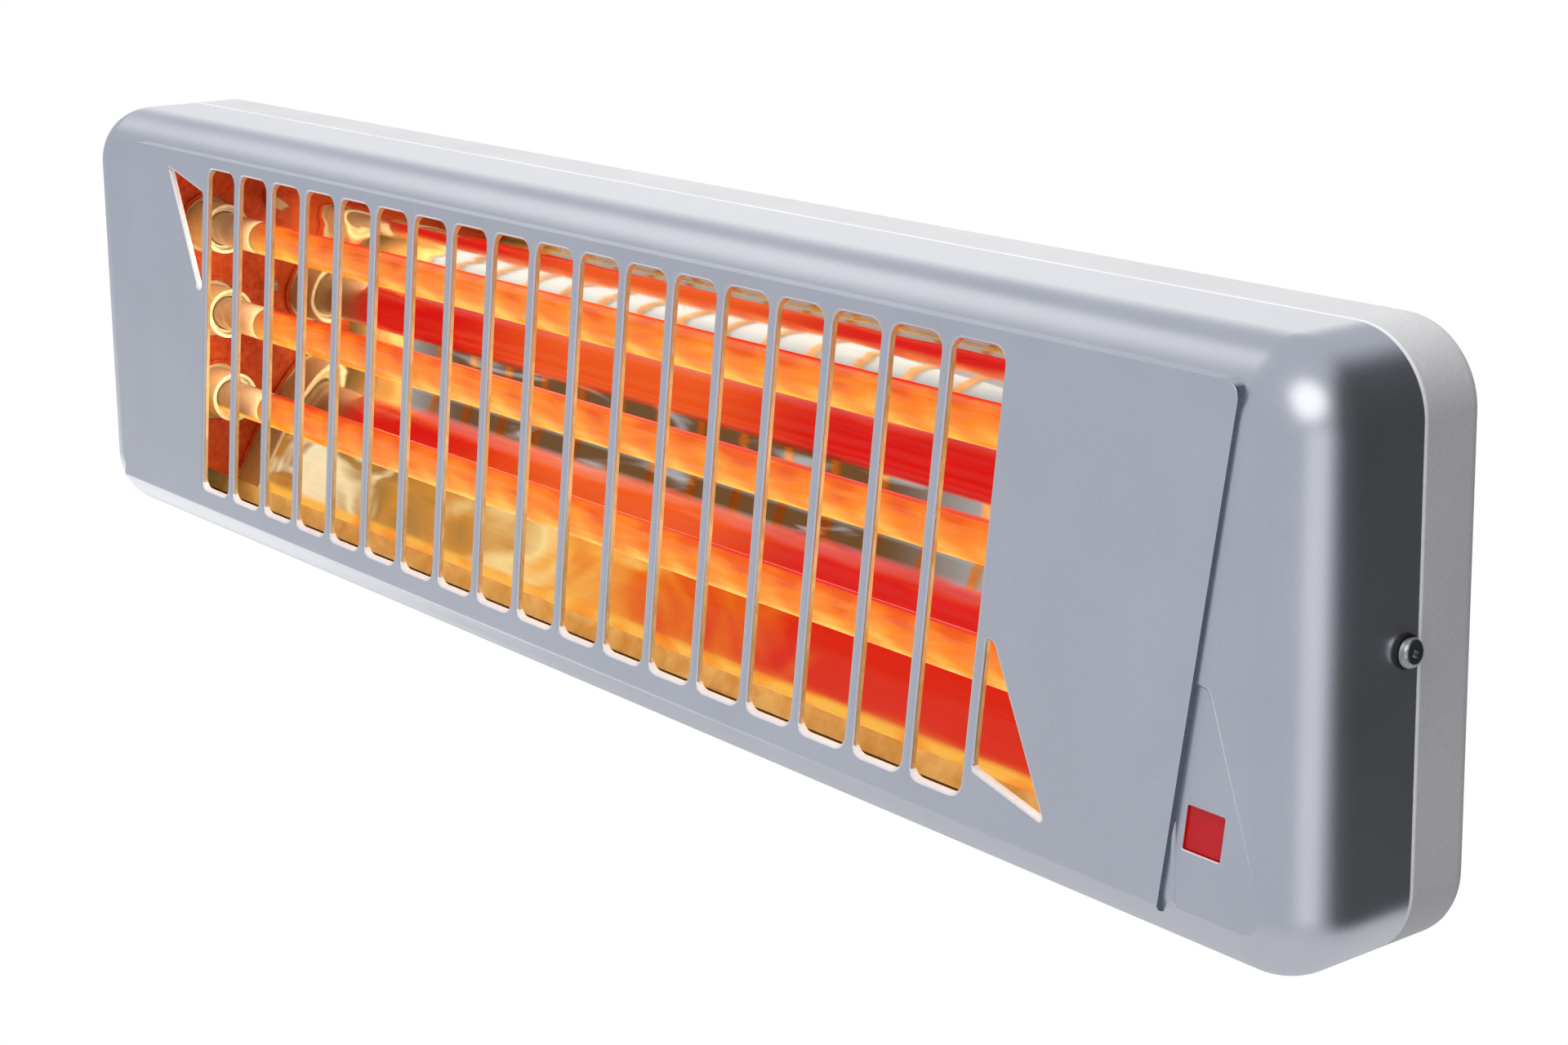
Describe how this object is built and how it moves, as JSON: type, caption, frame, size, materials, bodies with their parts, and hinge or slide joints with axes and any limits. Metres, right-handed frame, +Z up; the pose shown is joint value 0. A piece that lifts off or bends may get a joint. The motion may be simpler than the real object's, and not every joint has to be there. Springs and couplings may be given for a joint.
{
  "type": "electric bar heater",
  "caption": "Wall-hung electric bar heater: shallow satin metal casing, slanted slots over glowing quartz tubes and a mirror trough, on a tilting wall bracket.",
  "frame": {"origin": "middle of the wall bracket's back face, on the wall", "axes": "+Z up, +X to the viewer's right when facing the front, +Y into the wall; the grille faces -Y"},
  "size_m": [0.6268, 0.106, 0.1675],
  "materials": {
    "black_rubber": "soft seal",
    "blue_silicone": "silicone insulated wire",
    "brass_strip": "plain brass strip",
    "brown_silicone": "silicone insulated wire",
    "dark_fibre": "dark sealing and friction washer",
    "green_yellow_silicone": "silicone insulated wire",
    "grey_nylon": "moulded nylon",
    "heating_alloy": "oxidised heating wire, glowing in use",
    "light_grey_paint": "smooth light-grey powder coat",
    "moulded_white": "heat-resistant moulding",
    "polished_aluminium": "bright rolled, mirror finish",
    "quartz": "milky quartz, glowing orange in use",
    "red_badge": "plain glossy red enamel, blank",
    "satin_silver": "satin silver paint, slightly blue, fine sheen",
    "stainless_steel": "bright machined",
    "steatite": "unglazed cream ceramic",
    "zinc_steel": "zinc plated"
  },
  "bodies": {
    "wall_side": {"wall_bracket": "light_grey_paint", "pivot_bolts": "zinc_steel", "pivot_washers": "dark_fibre", "pivot_nuts": "zinc_steel"},
    "heater": {"badge_plate": "red_badge", "cable_gland": "grey_nylon", "cap_clamp_screws": "zinc_steel", "cutout_screws": "zinc_steel", "earth_nut": "zinc_steel", "earth_stud": "zinc_steel", "earth_wire": "green_yellow_silicone", "end_plate_screws": "zinc_steel", "end_screw_nuts": "zinc_steel", "end_screw_washers": "dark_fibre", "end_screws": "stainless_steel", "front_cover": "satin_silver", "gland_dome_nut": "grey_nylon", "gland_lock_nut": "grey_nylon", "gland_seal": "black_rubber", "heat_shield": "zinc_steel", "heat_shield_rivets": "zinc_steel", "heating_coil_bottom": "heating_alloy", "heating_coil_middle": "heating_alloy", "heating_coil_top": "heating_alloy", "left_cap_bottom": "steatite", "left_cap_clamp": "zinc_steel", "left_cap_middle": "steatite", "left_cap_top": "steatite", "left_end_plate": "polished_aluminium", "live_bus_bar": "brass_strip", "live_feed_wire": "brown_silicone", "live_link_wire": "brown_silicone", "neutral_bus_bar": "brass_strip", "neutral_wire": "blue_silicone", "quartz_tube_bottom": "quartz", "quartz_tube_middle": "quartz", "quartz_tube_top": "quartz", "rear_housing": "light_grey_paint", "reflector": "polished_aluminium", "reflector_rivets": "zinc_steel", "right_cap_bottom": "steatite", "right_cap_clamp": "zinc_steel", "right_cap_middle": "steatite", "right_cap_top": "steatite", "right_end_plate": "polished_aluminium", "swivel_bracket": "light_grey_paint", "swivel_bracket_nuts": "zinc_steel", "swivel_bracket_screws": "zinc_steel", "terminal_block": "moulded_white", "terminal_block_screws": "zinc_steel", "terminal_nuts": "stainless_steel", "terminal_studs": "stainless_steel", "thermal_cutout": "moulded_white"}
  },
  "joints": [
    {"name": "tilt", "type": "hinge", "parent": "wall_side", "child": "heater", "pos_m": [0, -0.025, 0], "axis": [1, 0, 0], "range_deg": [0, 25]}
  ]
}
